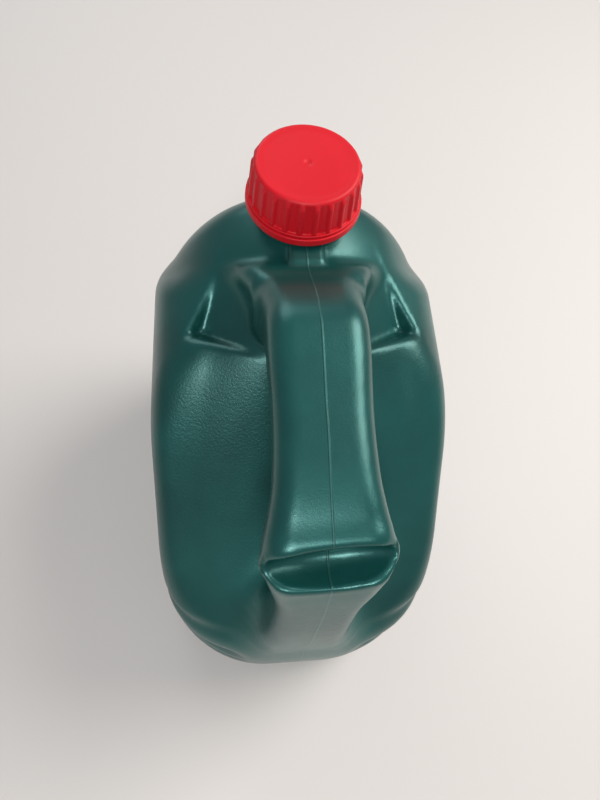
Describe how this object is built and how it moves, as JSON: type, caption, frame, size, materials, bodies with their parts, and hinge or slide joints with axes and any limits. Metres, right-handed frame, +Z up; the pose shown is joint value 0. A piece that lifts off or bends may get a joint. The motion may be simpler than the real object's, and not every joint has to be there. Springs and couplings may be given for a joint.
{
  "type": "motor oil bottle",
  "caption": "Blow-moulded five litre oil jug with a hollow looped handle, a ribbed screw cap with liner, a tamper band and a dented handle corner.",
  "frame": {"origin": "middle of the base, on the surface it stands on", "axes": "+Z up, +Y towards the neck, X across the mould's parting plane"},
  "size_m": [0.147, 0.222, 0.241],
  "materials": {
    "bottle_plastic": "satin pearl green blow-moulded polyethylene with a fine grain",
    "cap_plastic": "satin red injection-moulded polyethylene",
    "liner_foam": "soft white foamed polyethylene"
  },
  "bodies": {
    "bottle": {"bottle": "bottle_plastic", "tamper_band": "cap_plastic"},
    "liner": {"cap_liner": "liner_foam"},
    "cap": {"cap": "cap_plastic"}
  },
  "joints": [
    {"name": "cap_lift", "type": "slide", "parent": "bottle", "child": "liner", "axis": [0, 0, 1], "range_m": [0, 0.045]},
    {"name": "cap_turn", "type": "hinge", "parent": "liner", "child": "cap", "pos_m": [0, 0.071, 0.23], "axis": [0, 0, 1], "range_deg": [0, 2700.5]}
  ],
  "couplings": [
    {"joint": "cap_turn", "follows": "cap_lift", "rad_per_m": 1047.2}
  ]
}
